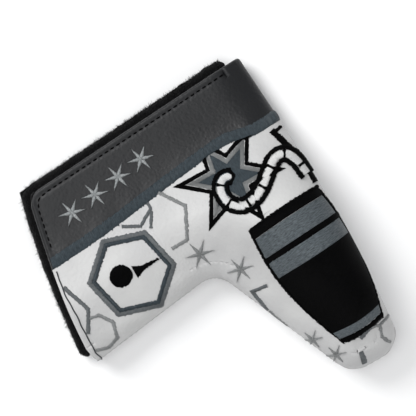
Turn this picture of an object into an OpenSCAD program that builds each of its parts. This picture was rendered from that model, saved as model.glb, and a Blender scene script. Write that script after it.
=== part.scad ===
// Cover for the head of a blade golf putter, lying on its back on the floor.
// Frame: X along the sole (toe towards -X, heel edge towards +X), Y up the leg,
// Z up through the front face. Millimetres. The origin is under the middle of the
// bounding box. All shapes are laid out from the heel end of the sole fold, then moved.

/* [Overall size] */
// Length of the foot along the sole, heel edge of the front panel to the toe tip
foot_length = 159.5; // [130:0.5:195]
// Height of the leg, sole to the inner top corner of the opening
leg_height = 137; // [110:0.5:170]
// Width of the leg at the opening, heel edge to the inner corner
leg_width = 85; // [68:0.5:105]
// Depth of the foot at the toe end, sole to the foot top
foot_depth = 27; // [20:0.5:40]
// Height of the inner corner between the leg and the foot top
corner_height = 60; // [48:0.5:75]
// Thickness of the filled foot, floor to front face
foot_thick = 42; // [34:0.5:52]
// Thickness of the leg in its middle
leg_thick = 30; // [26:0.5:38]

/* [Outline] */
// Lean of the heel edge towards the toe, degrees
heel_lean = 4.2; // [0:0.1:8]
// Lean of the inner edge of the leg, degrees
inner_lean = 7.8; // [0:0.1:12]
// Bow of the sole below the straight line, heel to toe
sole_bow = 4.3; // [0:0.1:8]
// Height of the front corner of the opening below the inner top corner
top_drop = 17; // [8:0.5:26]
// Where the line the free corner lifts along meets the top edge, from the front corner
fold_top = 44.5; // [41:0.5:50]
// Bow of the top edge above the straight line
top_bow = 2.2; // [0:0.1:5]
// Radius of the inner corner
corner_r = 12; // [6:0.5:24]
// Radius of the two toe corners
toe_r = 13; // [8:0.5:20]
// How far the back panel and its lining reach past the front at the opening
lip = 4.2; // [2:0.1:8]

/* [Layers] */
// Thickness of the outer leather
leather_t = 1.2; // [0.8:0.1:2]
// Thickness of the foam between leather and lining
foam_t = 2.0; // [1:0.1:3]
// Thickness of the fleece lining
lining_t = 3.5; // [2:0.1:5]
// Reach of the rounded fold at the sole, seen from the front
fold_w = 10; // [9:0.5:16]
// Reach of the rounded edge at the closed seam
seam_w = 8; // [7.5:0.5:12]
// Clearance between the free corner and everything that does not move
flap_gap = 0.6; // [0.6:0.1:2]

/* [Cuff and closure] */
// Width of the dark cuff along the heel edge
cuff_w = 31; // [24:0.5:40]
// Width of the satin-stitch band that joins cuff and body
band_w = 5.2; // [3:0.1:8]
// Thickness of the embroidery above the leather
thread_h = 0.8; // [0.4:0.1:1.2]
// Width of the hook and the loop strip of the closure
strip_w = 16; // [10:0.5:22]
// Thickness of the hook strip and of the loop strip
strip_t = 1.5; // [1:0.1:2.5]
// Clearance between the closed hook and loop strips
strip_gap = 0.35; // [0.3:0.05:1]
// Distance of the topstitch from the edge it follows
stitch_in = 3.2; // [2:0.1:6]
// Diameter of the topstitch thread
stitch_d = 0.8; // [0.5:0.1:1.2]

/* [Embroidered motifs] */
// Tip radius of the four stars on the cuff
star_r = 6.4; // [4:0.1:8]
// Spacing of the four stars on the cuff
star_pitch = 13.8; // [13.4:0.1:18]
// Corner radius of the large hexagon on the leg
emblem_r = 22; // [16:0.1:24]
// Width of the border of the large hexagon
emblem_rim = 4.2; // [2:0.1:6]
// Tip radius of the six-pointed burst
burst_r = 26; // [18:0.5:28]
// Length of the embroidered barrel
barrel_l = 70; // [50:0.5:74]
// Width of the embroidered barrel at its ends
barrel_w = 39; // [26:0.5:42]

/* [Hidden] */
stack = leather_t + foam_t + lining_t;
edge_h = 2 * stack + 2 * strip_t + strip_gap;   // closed height at the opening
hl = tan(heel_lean);
il = tan(inner_lean);
inner_top = [-leg_width - hl * leg_height, leg_height];
front_top = [-hl * (leg_height - top_drop), leg_height - top_drop];
inner_low = [inner_top[0] + il * (leg_height - corner_height), corner_height];
toe_top = [-foot_length, foot_depth];
toe_low = [-foot_length, -1];

function sm(t) = let(c = min(1, max(0, t))) c * c * (3 - 2 * c);
function unit(v) = v / norm(v);
function mix(a, b, t) = a + (b - a) * t;
// corner at b between a and c rounded with radius r, as n+1 points
function round3(a, b, c, r, n) =
    let(u = unit(a - b), v = unit(c - b), half = acos(u * v) / 2,
        m = b + unit(u + v) * r / sin(half), p = b + u * r / tan(half) - m,
        q = b + v * r / tan(half) - m,
        a0 = atan2(p[1], p[0]), d = atan2(q[1], q[0]) - a0,
        s = d > 180 ? d - 360 : (d < -180 ? d + 360 : d))
    [for (i = [0:n]) m + r * [cos(a0 + s * i / n), sin(a0 + s * i / n)]];
function sole_y(x) = -sole_bow * sin(180 * min(1, max(0, (lip - x) / foot_length) * 0.88));

// ---- the net in plan -------------------------------------------------------------
// Stations are straight lines from the sole to the top edge or the foot top. Rows run
// across them: n1 up to the level of the inner corner, n2 up to the fold line of the free
// corner, one thin row for its clearance, n3 up to the front's edge, one row for the lip.
n1 = 6; n2 = 5; n3 = 7;
r_fold = n1 + n2; r_flap = r_fold + 1; r_top = r_flap + n3; r_end = r_top + 1;
ca = cos(heel_lean);
inner_x = inner_top[0] + il * leg_height + seam_w / cos(inner_lean);
fold_x = -(fold_top + hl * leg_height) + hl * leg_height;
body_x = -(cuff_w + band_w) / ca;
station = concat([[lip / ca, hl]], [for (i = [0:5]) [-cuff_w / ca * i / 5, hl]],
    [[body_x, hl]], [[mix(body_x, fold_x, 0.5), hl]], [[fold_x, hl]],
    [for (i = [0:5]) let(f = i / 5)
        [mix(fold_x - flap_gap / ca, inner_x, f), mix(hl, il, f)]]);
k_cuff = 6; k_band = 7; k_gap = 9; k_leg = 15;
function foot_of(k) = let(s = station[k], y = fold_w + sole_y(s[0])) [s[0] - s[1] * y, y];
// where station k meets the line through a and b
function meet(k, a, b) = let(s = station[k], g = (b[1] - a[1]) / (b[0] - a[0]),
    y = (a[1] + g * (s[0] - a[0])) / (1 + g * s[1])) [s[0] - s[1] * y, y];
front_inner = inner_top - [0, lip];
function top_of(k, up) = let(p = meet(k, front_top, front_inner))
    p + [0, up + top_bow * sin(180 * min(1, max(0, p[0] / front_inner[0])))];
fold_a = [-1, 0];
fold_b = top_of(k_gap, 0) - [0, 2.5];

rim_corner = let(a = unit(inner_top - inner_low), b = unit(toe_top - inner_low),
    half = acos(a * b) / 2) inner_low - unit(a + b) * seam_w / sin(half) ;
fil_n = 5;
fillet = round3(rim_corner + (inner_top - inner_low), rim_corner,
    rim_corner + (toe_top - inner_low), corner_r + seam_w, fil_n);
// toe outline, from the end of the sole to the start of the foot top
toe_y = sole_y(-foot_length + toe_r);
toe_edge = concat(round3([-foot_length / 2, toe_y], [-foot_length, toe_y], toe_top, toe_r, 3),
    [for (i = [1:3]) round3(toe_low, toe_top, inner_low, toe_r, 3)[i]]);
function toe_in(i) = let(t = i == 0 ? [-1, 0] : i == n1 ? unit(inner_low - toe_top)
    : unit(toe_edge[i + 1] - toe_edge[i - 1])) [t[1], -t[0]];
toe_reach = [for (i = [0:n1]) mix(fold_w, seam_w, sm(i / 4))];
toe_rim = [for (i = [0:n1]) toe_edge[i] + toe_in(i) * toe_reach[i]];
foot_n = 5;
foot_tops = concat([for (i = [1:fil_n]) fillet[i]],
    [for (i = [1:foot_n]) mix(fillet[fil_n], toe_rim[n1], i / foot_n * 0.97)]);
foot_lows = [for (i = [1:fil_n + foot_n]) let(a = foot_of(k_leg)[0],
    x = mix(a, toe_rim[0][0], pow(i / (fil_n + foot_n), 0.92) * 0.97)) [x, fold_w + sole_y(x)]];
k_toe = k_leg + fil_n + foot_n + 1;

function leg_row(k) = let(s = foot_of(k), t = top_of(k, 0), d = unit(t - s),
    f = meet(k, fold_a, fold_b),
    y = min(t[1] - 2.5 - 0.3 * max(0, k - k_gap), max(s[1] + 1.5, f[1])),
    h = s + d * (y - s[1]) / d[1], g = d * flap_gap * 0.95,
    e = (fillet[0][1] - foot_of(k_leg)[1]) / (top_of(k_leg, 0)[1] - 4 - foot_of(k_leg)[1]),
    c = k <= k_gap ? mix(s, h, 0.5) : mix(mix(s, h, 0.5), s + (h - s) * e, sm((k - k_gap) / 5)))
    concat([for (i = [0:n1 - 1]) mix(s, k == k_leg ? fillet[0] : c, i / n1)],
    [for (i = [0:n2 - 1]) mix(k == k_leg ? fillet[0] : c, h, i / n2)],
    [h], [for (i = [0:n3]) mix(h + g, t, i / n3)], [t + d * lip]);
rows = concat([for (k = [0:k_leg]) leg_row(k)],
    [for (i = [0:fil_n + foot_n - 1])
        [for (j = [0:n1]) mix(foot_lows[i], foot_tops[i], j / n1)]], [toe_rim]);

// ---- heights ---------------------------------------------------------------------
function seg_d(p, a, b) =
    let(d = b - a, t = min(1, max(0, (p - a) * d / (d * d)))) norm(p - a - d * t);
seam_line = concat([toe_rim[3], toe_rim[n1]], [fillet[fil_n], fillet[3], fillet[2], fillet[0]],
    [rows[k_leg][r_end]]);
function seam_d(p) = min([for (i = [0:len(seam_line) - 2])
    seg_d(p, seam_line[i], seam_line[i + 1])]);
function heel_d(p) = (-p[0] - hl * p[1]) * ca;
// height of the front face over the floor at a point of the plan
function face(p) = edge_h
    + (mix(foot_thick, leg_thick, sm((p[1] - 15) / 75)) - edge_h)
    * sm((heel_d(p) - 14) / 72) * (0.3 + 0.7 * sm(seam_d(p) / 26));

// ---- the net in space ------------------------------------------------------------
// Points on the surface moved in by t: the front, the back, then the rounded edge that
// runs along the sole, round the toe, over the foot and up the inner side of the leg.
loop_ix = concat([for (k = [0:k_toe - 1]) [k, 0]], [for (r = [0:n1]) [k_toe, r]],
    [for (k = [k_toe - 1:-1:k_leg + 1]) [k, n1]], [for (r = [n1:r_end]) [k_leg, r]]);
n_loop = len(loop_ix);
loop_xy = [for (g = loop_ix) rows[g[0]][g[1]]];
function outward(i) = let(t = unit(loop_xy[i + 1] - loop_xy[max(0, i - 1)])) [-t[1], t[0]];
function loop_out(i) = i >= n_loop - (r_end - n1) - 1 ? unit([-1, -il]) * seam_w
    : i <= k_toe - 1 ? outward(i) * fold_w
    : i <= k_toe + n1 ? -toe_in(i - k_toe) * toe_reach[i - k_toe] : outward(i) * seam_w;
edge_n = 8;
leg_w = r_end + 1; foot_w = n1 + 1;
n_flat = (k_leg + 1) * leg_w + (k_toe - k_leg) * foot_w;
function id(k, r) = k <= k_leg ? k * leg_w + r
    : (k_leg + 1) * leg_w + (k - k_leg - 1) * foot_w + r;
function rid(i, q) = let(g = loop_ix[i]) q == 0 ? id(g[0], g[1])
    : q == edge_n ? n_flat + id(g[0], g[1]) : 2 * n_flat + i * (edge_n - 1) + q - 1;
plan = [for (r = rows) each r];
heights = [for (p = plan) face(p)];
outs = [for (i = [0:n_loop - 1]) loop_out(i)];
function net(t) = concat([for (i = [0:n_flat - 1]) [plan[i][0], plan[i][1], heights[i] - t]],
    [for (p = plan) [p[0], p[1], max(0, t)]],
    [for (i = [0:n_loop - 1])
        let(p = loop_xy[i], h = face(p), o = outs[i], w = max(0.05, 1 - t / norm(o)),
            hi = h - t, lo = max(0, t), mid = (hi + lo) / 2, v = (hi - lo) / 2)
        for (q = [1:edge_n - 1]) let(a = 90 - 180 * q / edge_n)
            [p[0] + o[0] * w * cos(a), p[1] + o[1] * w * cos(a), mid + v * sin(a)]]);

// ---- cells of the net ------------------------------------------------------------
function quad(k, r, off) = off == 0 ? [id(k, r), id(k, r + 1), id(k + 1, r + 1), id(k + 1, r)]
    : [off + id(k, r), off + id(k + 1, r), off + id(k + 1, r + 1), off + id(k, r + 1)];
function cell_rows(k) = k < k_leg ? r_end : n1;
function in_part(k, k0, k1) = k >= k0 && k < k1;
// front cells that stay put, back cells, and edge cells, between stations k0 and k1
function fixed_cells(k0, k1) = concat(
    [for (k = [max(1, k0):k1 - 1]) for (r = [0:cell_rows(k) - 1])
        if (r < r_fold || (k > k_gap && r < r_top)) quad(k, r, 0)],
    [for (k = [k0:k1 - 1]) for (r = [0:cell_rows(k) - 1]) quad(k, r, n_flat)],
    [for (i = [0:n_loop - 2]) let(k = i < k_toe ? i : k_toe - 1)
        if (in_part(k, k0, k1)) for (q = [0:edge_n - 1])
            if (q >= edge_n / 2 || (i > 0 && i < n_loop - 2))
                [rid(i, q), rid(i + 1, q), rid(i + 1, q + 1), rid(i, q + 1)]]);
function free_cells(k0, k1) = [for (k = [max(1, k0):min(k_gap, k1) - 1])
    for (r = [r_flap:r_top - 1]) quad(k, r, 0)];

// the closed solid between the surface moved in by t0 and by t1, over the given cells
module shell(cells, t0, t1) {
    n = 2 * n_flat + n_loop * (edge_n - 1);
    big = n + 1;
    dirs = [for (c = cells) for (e = [0:3]) [c[e], c[(e + 1) % 4]]];
    fwd = [for (d = dirs) d[0] * big + d[1]];
    hit = search([for (d = dirs) d[1] * big + d[0]], fwd);
    polyhedron(concat(net(t0), net(t1)), concat(
        [for (c = cells) each [[c[2], c[1], c[0]], [c[3], c[2], c[0]]]],
        [for (c = cells) each [[n + c[0], n + c[1], n + c[2]], [n + c[0], n + c[2], n + c[3]]]],
        [for (i = [0:len(dirs) - 1]) if (hit[i] == []) let(a = dirs[i][0], b = dirs[i][1])
            each [[a, b, n + a], [b, n + b, n + a]]]));
}
module put() { translate(shift) children(); }

/* ---- leather, satin band, foam and lining ---- */
module body_leather() {
    color("#dcdcdc") put() shell(fixed_cells(k_band, k_toe), 0, leather_t);
}
module body_leather_corner() {
    color("#dcdcdc") put() shell(free_cells(k_band, k_toe), 0, leather_t);
}
module cuff_leather() { color("#3a3b40") put() shell(fixed_cells(0, k_cuff), 0, leather_t); }
module cuff_leather_corner() {
    color("#3a3b40") put() shell(free_cells(0, k_cuff), 0, leather_t);
}
module join_band() { color("#4a565e") put() shell(fixed_cells(k_cuff, k_band), 0, leather_t); }
module join_band_corner() {
    color("#4a565e") put() shell(free_cells(k_cuff, k_band), 0, leather_t);
}
module foam() {
    color("#c9b98a") put() shell(fixed_cells(0, k_toe), leather_t, leather_t + foam_t);
}
module foam_corner() {
    color("#c9b98a") put() shell(free_cells(0, k_toe), leather_t, leather_t + foam_t);
}
module lining() {
    color("#101012") put() shell(fixed_cells(0, k_toe), leather_t + foam_t, stack);
}
module lining_corner() {
    color("#101012") put() shell(free_cells(0, k_toe), leather_t + foam_t, stack);
}

/* ---- hook-and-loop closure ---- */
// a strip lying flat between two heights, from station distances d0 to d1 and y0 to y1
module flat_strip(d0, d1, y0, y1, z0, z1) {
    put() translate([0, 0, z0]) linear_extrude(z1 - z0) polygon([
        for (q = [[d0, y0], [d1, y0], [d1, y1], [d0, y1]]) [-q[0] / ca - hl * q[1], q[1]]]);
}
strip_y0 = 50; strip_y1 = leg_height - top_drop - 7;
module hook_strip() {
    color("#2a2b2e")
        flat_strip(2, 2 + strip_w, strip_y0, strip_y1, edge_h - stack - strip_t, edge_h - stack);
}
module loop_strip() {
    color("#333438") flat_strip(2, 2 + strip_w, strip_y0, strip_y1, stack, stack + strip_t);
}

/* ---- embroidery: pads that follow the face and the sole fold ---- */
sink = 0.4;
seam_out = 0.45;
fil_mid = let(a = unit(inner_top - inner_low), b = unit(toe_top - inner_low),
    half = acos(a * b) / 2) rim_corner + unit(a + b) * (corner_r + seam_w) / sin(half);
foot_dir = unit(toe_rim[n1] - fillet[fil_n]);
foot_nrm = [foot_dir[1], -foot_dir[0]];
leg_nrm = unit([-1, -il]);
// how far a plan point lies past the start of the rounded edge, outward direction, reach
function past_rim(p) = let(ds = fold_w + sole_y(p[0]) - p[1], df = (p - fillet[fil_n]) * foot_nrm,
    dl = (p - fillet[0]) * leg_nrm, dc = corner_r + seam_w - norm(p - fil_mid))
    ds > 0 ? [ds, [0, -1], fold_w]
    : p[1] > fillet[0][1] ? [max(0, dl), leg_nrm, seam_w]
    : p[0] < fillet[fil_n][0] ? [max(0, df), foot_nrm, seam_w]
    : [max(0, dc), unit(fil_mid - p), seam_w];
// point of the outer surface over plan point p, raised by o along the surface normal
function on_face(p, o) = let(q = past_rim(p), u = min(0.97, q[0] / q[2]), c = sqrt(1 - u * u),
    b = p - q[1] * q[0], r = b + q[1] * q[2] * u, h = face(b),
    m = unit([q[1][0] * u / q[2], q[1][1] * u / q[2], c * 2 / h]))
    q[0] <= 0 ? [p[0], p[1], face(p) + o] : [r[0], r[1], h / 2 + h / 2 * c] + m * o;
// closed pad over a grid of plan points; wrap joins the last column to the first
module pad(g, wrap = false, lo = -sink, hi = thread_h) {
    nr = len(g); nc = len(g[0]); m = nr * nc; cw = wrap ? nc - 1 : nc - 2;
    function at(i, j) = i * nc + j % nc;
    polyhedron(concat([for (r = g) for (p = r) on_face(p, hi)],
                      [for (r = g) for (p = r) on_face(p, lo)]), concat(
        [for (i = [0:nr - 2]) for (j = [0:cw]) let(a = at(i, j), b = at(i, j + 1),
            c = at(i + 1, j + 1), d = at(i + 1, j)) each
            [[a, b, c], [a, c, d], [m + c, m + b, m + a], [m + d, m + c, m + a]]],
        [for (j = [0:cw]) let(a = at(0, j), b = at(0, j + 1), c = at(nr - 1, j),
            d = at(nr - 1, j + 1)) each [[b, a, m + a], [b, m + a, m + b],
                                         [c, d, m + d], [c, m + d, m + c]]],
        wrap ? [] : [for (i = [0:nr - 2]) let(a = at(i, 0), b = at(i + 1, 0),
            c = at(i, nc - 1), d = at(i + 1, nc - 1)) each
            [[a, b, m + b], [a, m + b, m + a], [d, c, m + c], [d, m + c, m + d]]]));
}
// filled pad: loops of plan points round a middle point, smallest loop first
module disc_pad(mid, loops) {
    nl = len(loops); nc = len(loops[0]); m = nl * nc + 1;
    function at(i, j) = 1 + i * nc + j % nc;
    pts = concat([mid], [for (l = loops) each l]);
    polyhedron(concat([for (p = pts) on_face(p, thread_h)], [for (p = pts) on_face(p, -sink)]),
        concat([for (j = [0:nc - 1]) each [[0, at(0, j + 1), at(0, j)],
                                           [m, m + at(0, j), m + at(0, j + 1)]]],
        [for (i = [0:nl - 2]) for (j = [0:nc - 1]) let(a = at(i, j), b = at(i, j + 1),
            c = at(i + 1, j + 1), d = at(i + 1, j)) each
            [[a, b, c], [a, c, d], [m + c, m + b, m + a], [m + d, m + c, m + a]]],
        [for (j = [0:nc - 1]) let(a = at(nl - 1, j), b = at(nl - 1, j + 1)) each
            [[a, b, m + b], [a, m + b, m + a]]]));
}
function star_loop(c, r, n, inner, turn) = [for (i = [0:2 * n - 1])
    c + (i % 2 == 0 ? r : r * inner) * [cos(turn + i * 180 / n), sin(turn + i * 180 / n)]];
function hex_pts(c, r, turn, a0 = 0, a1 = 6, sub = 2) = [for (i = [a0 * sub:a1 * sub])
    let(k = floor(i / sub), f = i / sub - k, p = turn + k * 60, q = p + 60)
    c + r * mix([cos(p), sin(p)], [cos(q), sin(q)], f)];
module hex_ring(c, r, w, turn) {
    a = [for (i = [0:11]) hex_pts(c, r - w, turn)[i]];
    b = [for (i = [0:11]) hex_pts(c, r, turn)[i]];
    pad([a, b], wrap = true);
}
// open run of a hexagon outline, corners a0 to a1
module hex_run(c, r, w, turn, a0, a1) {
    pad([hex_pts(c, r - w, turn, a0, a1), hex_pts(c, r, turn, a0, a1)]);
}
module star_pad(c, r, n = 6, inner = 0.38, turn = 0) {
    disc_pad(c, [star_loop(c, r, n, inner, turn)]);
}
star_c = [for (i = [0:3]) [-19.8 - star_pitch * 0.152 * i, 64.6 + star_pitch * i]];
module cuff_star_1() { color("#b8bbbc") put() star_pad(star_c[0], star_r, turn = 16); }
module cuff_star_2() { color("#b8bbbc") put() star_pad(star_c[1], star_r, turn = 16); }
module cuff_star_3() { color("#b8bbbc") put() star_pad(star_c[2], star_r, turn = 16); }
module cuff_star_4() { color("#b8bbbc") put() star_pad(star_c[3], star_r, turn = 16); }
small_c = [[-73.4, 62.3], [-89.1, 49], [-135.5, 33.5], [-146, 27]];
module small_star_1() { color("#a6a8a8") put() star_pad(small_c[0], 6.8, turn = 16); }
module small_star_2() { color("#a6a8a8") put() star_pad(small_c[1], 6.2, turn = 16); }
module small_star_3() { color("#a6a8a8") put() star_pad(small_c[2], 4.4, turn = 40); }
emblem_c = [-65.6, 95.1];
module emblem_rim() {
    color("#7c8082") put() hex_ring(emblem_c, emblem_r, emblem_rim / 2, 13);
}
module emblem_line() {
    color("#46525a") put() hex_ring(emblem_c, emblem_r - emblem_rim / 2, emblem_rim / 2, 13);
}
module emblem_ball() {
    c = emblem_c + [1.5, 5];
    color("#111214") put() disc_pad(c, [for (r = [2.8, 5.6])
        [for (i = [0:15]) c + r * [cos(i * 22.5), sin(i * 22.5)]]]);
}
module emblem_tee() {
    c = emblem_c + [0, -5.5];
    color("#111214") put() pad([for (i = [0:3]) let(y = 4 - i * 4.4, w = [3.6, 1.3, 1.0, 0.5][i])
        [c + [-w, y], c + [w, y]]]);
}
// flat line of the given width through plan points
module line_pad(pts, w, lo = -sink, hi = thread_h) {
    n = len(pts);
    side = [for (i = [0:n - 1]) let(a = unit(pts[max(1, i)] - pts[max(0, i - 1)]),
        b = unit(pts[min(n - 1, i + 1)] - pts[min(n - 2, i)]), m = unit(a + b))
        [m[1], -m[0]] * w / 2 / max(0.5, m * a)];
    pad([[for (i = [0:n - 1]) pts[i] - side[i]], [for (i = [0:n - 1]) pts[i] + side[i]]],
        lo = lo, hi = hi);
}
function finer(pts, n = 3) = concat([for (i = [0:len(pts) - 2]) for (j = [0:n - 1])
    mix(pts[i], pts[i + 1], j / n)], [pts[len(pts) - 1]]);
module hex_large() { color("#a6a8a8") put()
    line_pad(finer([[-46, 58.5], [-51, 57.2], [-64.2, 64], [-64.6, 71.5]]), 1.9); }
module hex_small() { color("#7c8082") put()
    line_pad(finer([[-40.8, 72.3], [-42.6, 72.2], [-47.6, 80.5], [-43.2, 88]]), 1.9); }
module hex_top() { color("#7c8082") put()
    line_pad(finer([[-58.5, 125.4], [-70, 121.3], [-80, 127]]), 2.2); }
module hex_inner() { color("#a6a8a8") put()
    line_pad(finer([[-75.8, 118.6], [-81, 114.2], [-88.2, 116.2], [-90, 122]]), 1.9); }
module hex_corner() { color("#8c9091") put()
    line_pad(finer([[-102.2, 44.5], [-101.2, 50.5], [-112, 47], [-119, 43.6]]), 1.9); }
module hex_toe() { color("#8c9091") put()
    line_pad(finer([[-143.6, 1.5], [-145.4, 7], [-147.4, 16], [-152.5, 17.4]]), 2.2); }

burst_c = [-50.5, 31];
// six-pointed burst, cut off along the edge of the satin band
function burst_loop(f, inner) = [for (p = star_loop(burst_c, burst_r * f, 6, inner, 66))
    [min(p[0], body_x - hl * p[1] - 0.4), p[1]]];
module burst_fill() {
    color("#46525a") put() disc_pad(burst_c, [burst_loop(0.3, 0.6), burst_loop(0.57, 0.6)]);
}
module burst_rim() {
    color("#9ea2a3") put() pad([burst_loop(0.57, 0.6), burst_loop(0.77, 0.56)], wrap = true);
}
module burst_line() {
    color("#0c0c0d") put() pad([burst_loop(0.77, 0.56), burst_loop(1, 0.52)], wrap = true);
}
// rope: a curl over the burst, then a wave that runs down to the barrel
curl_c = [-54.5, 31.5];
rope_pts = concat([for (i = [0:7]) let(a = 20 + i * 27) curl_c + 8.6 * [cos(a), sin(a)]],
    [[-59.8, 20.5], [-54.2, 13.6], [-50.6, 7], [-54, 1.6], [-62, 0.6], [-70.5, 3]]);
module rope_line() { color("#0c0c0d") put() line_pad(rope_pts, 6.6, -sink, 1.3); }
module rope_fill() { color("#d6d6d6") put() line_pad(rope_pts, 3.9, 1.3, 1.7); }
// barrel: a grid along its length with bulging sides, over the foot and the sole fold
barrel_a = [-73.5, 17.5]; barrel_b = barrel_a + barrel_l * unit([-70, -5]);
barrel_n = unit([-5, 70]);
function barrel_pt(u, v) = let(w = barrel_w / 2 * (1 + 0.17 * sin(180 * u)) * (1 - 0.42 * u * u))
    mix(barrel_a, barrel_b, u) + barrel_n * w * v;
module barrel_zone(u0, u1, n) {
    pad([for (i = [0:n]) [for (j = [0:10]) barrel_pt(mix(u0, u1, i / n), 1 - j / 5)]]);
}
module barrel_cap() { color("#0c0c0d") put() barrel_zone(0, 0.07, 1); }
module barrel_band_1() { color("#6e7679") put() barrel_zone(0.07, 0.22, 1); }
module barrel_hoop() { color("#0c0c0d") put() barrel_zone(0.22, 0.26, 1); }
module barrel_band_2() { color("#6e7679") put() barrel_zone(0.26, 0.38, 1); }
module barrel_body() { color("#0c0c0d") put() barrel_zone(0.38, 0.89, 4); }
module barrel_band_3() { color("#6e7679") put() barrel_zone(0.89, 0.95, 1); }
module barrel_foot() { color("#0c0c0d") put() barrel_zone(0.95, 1, 1); }

/* ---- stitching ---- */
// thread along a plan line, lying on the face
module thread_run(pts) {
    n = len(pts);
    side = [for (i = [0:n - 1]) let(t = unit(pts[min(n - 1, i + 1)] - pts[max(0, i - 1)]))
        [t[1], -t[0]] * stitch_d / 2];
    pad([[for (i = [0:n - 1]) pts[i] - side[i]], [for (i = [0:n - 1]) pts[i] + side[i]]]);
}
function from_heel(d, y) = [-d / ca - hl * y, y];
function below_top(x, d) = let(g = (front_inner[1] - front_top[1]) / (front_inner[0] - front_top[0]))
    [x, front_top[1] + g * (x - front_top[0]) - d
        + top_bow * sin(180 * min(1, max(0, x / front_inner[0])))];
module cuff_stitch() {
    color("#08080a") put() thread_run(concat(
        [for (i = [0:8]) from_heel(stitch_in, mix(fold_w + 8, front_top[1] - 9, i / 8))],
        [from_heel(stitch_in + 2, front_top[1] - 4.5)],
        [for (i = [0:4]) below_top(mix(-17, -37, i / 4), stitch_in)]));
}
module top_stitch() {
    color("#2c3236") put()
        thread_run([for (i = [0:6]) below_top(mix(-57, -84, i / 6), stitch_in + i * 0.3)]);
}
// thread of the closed seam, along the middle of the rounded edge
module closed_seam() {
    i0 = k_toe + 2; i1 = n_loop - 2; c = 4;
    pts = [for (i = [i0:i1]) let(h = face(loop_xy[i]) / 2, o = unit(outs[i]), r = norm(outs[i]))
        for (q = [[-0.35, -0.5], [seam_out, -0.5], [seam_out, 0.5], [-0.35, 0.5]])
        [each loop_xy[i] + o * (r + q[0]), h + q[1]]];
    color("#c4c4c4") put() polyhedron(pts, concat([[0, 1, 2, 3]],
        [let(m = (i1 - i0) * c) [m + 3, m + 2, m + 1, m]],
        [for (i = [0:i1 - i0 - 1]) for (k = [0:3]) let(a = i * c + k, b = i * c + (k + 1) % c)
            each [[b + c, b, a], [a + c, b + c, a]]]));
}

/* ---- place of the origin: under the middle of the bounding box ---- */
// outline in plan with the seam thread and the barrel's thread that stand out of it
all_xy = concat(plan, [for (i = [0:n_loop - 1]) loop_xy[i] + outs[i]
        + (i > k_toe + 1 && i < n_loop - 1 ? unit(outs[i]) * seam_out : [0, 0])],
    [for (u = [0:0.05:1]) let(q = on_face(barrel_pt(u, -1), thread_h)) [q[0], q[1]]]);
shift = [-(max([for (p = all_xy) p[0]]) + min([for (p = all_xy) p[0]])) / 2,
         -(max([for (p = all_xy) p[1]]) + min([for (p = all_xy) p[1]])) / 2, 0];

body_leather();
body_leather_corner();
cuff_leather();
cuff_leather_corner();
join_band();
join_band_corner();
foam();
foam_corner();
lining();
lining_corner();
hook_strip();
loop_strip();
cuff_star_1();
cuff_star_2();
cuff_star_3();
cuff_star_4();
small_star_1();
small_star_2();
small_star_3();
emblem_rim();
emblem_line();
emblem_ball();
emblem_tee();
hex_large();
hex_small();
hex_top();
hex_inner();
hex_corner();
hex_toe();
burst_fill();
burst_rim();
burst_line();
rope_line();
rope_fill();
barrel_cap();
barrel_band_1();
barrel_hoop();
barrel_band_2();
barrel_body();
barrel_band_3();
barrel_foot();
cuff_stitch();
top_stitch();
closed_seam();
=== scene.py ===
import math
import bmesh
import bpy
import numpy as np
from mathutils import Matrix, Vector


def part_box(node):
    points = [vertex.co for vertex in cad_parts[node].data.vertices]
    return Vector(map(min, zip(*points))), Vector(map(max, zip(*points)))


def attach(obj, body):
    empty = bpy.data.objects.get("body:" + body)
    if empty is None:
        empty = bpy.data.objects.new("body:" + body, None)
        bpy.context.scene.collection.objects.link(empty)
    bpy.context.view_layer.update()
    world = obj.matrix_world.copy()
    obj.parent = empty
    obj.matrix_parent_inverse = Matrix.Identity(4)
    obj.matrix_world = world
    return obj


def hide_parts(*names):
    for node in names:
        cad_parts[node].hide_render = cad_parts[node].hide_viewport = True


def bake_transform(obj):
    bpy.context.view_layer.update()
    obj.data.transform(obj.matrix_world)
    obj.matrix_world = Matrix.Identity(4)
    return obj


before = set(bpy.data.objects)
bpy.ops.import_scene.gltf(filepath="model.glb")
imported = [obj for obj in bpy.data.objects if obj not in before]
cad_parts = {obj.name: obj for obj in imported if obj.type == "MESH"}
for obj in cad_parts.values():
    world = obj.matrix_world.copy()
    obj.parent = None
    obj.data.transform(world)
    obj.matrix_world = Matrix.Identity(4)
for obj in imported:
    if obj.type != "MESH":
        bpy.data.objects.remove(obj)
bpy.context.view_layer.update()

# ==== Camera, light and floor ====
# The cover lies on its back on a pale sweep and is seen from straight above, rolled so
# that the foot points down to the right. Two big soft boxes and a pale sky light it.
MM = 0.001


def linear(code):
    """sRGB hex code to linear red, green, blue, alpha."""
    c = np.array([int(code[i:i + 2], 16) for i in (1, 3, 5)]) / 255
    c = np.where(c <= 0.04045, c / 12.92, ((c + 0.055) / 1.055) ** 2.4)
    return (*c.tolist(), 1.0)


def new_material(name, colour="#808080", **shader):
    """A material with its principled shader, whose plain sockets are set here."""
    material = bpy.data.materials.new(name)
    material.use_nodes = True
    tree = material.node_tree
    face_shader = tree.nodes["Principled BSDF"]
    face_shader.inputs["Base Color"].default_value = linear(colour)
    for key, value in shader.items():
        face_shader.inputs[key.replace("_", " ")].default_value = value
    return material, tree, face_shader


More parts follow.
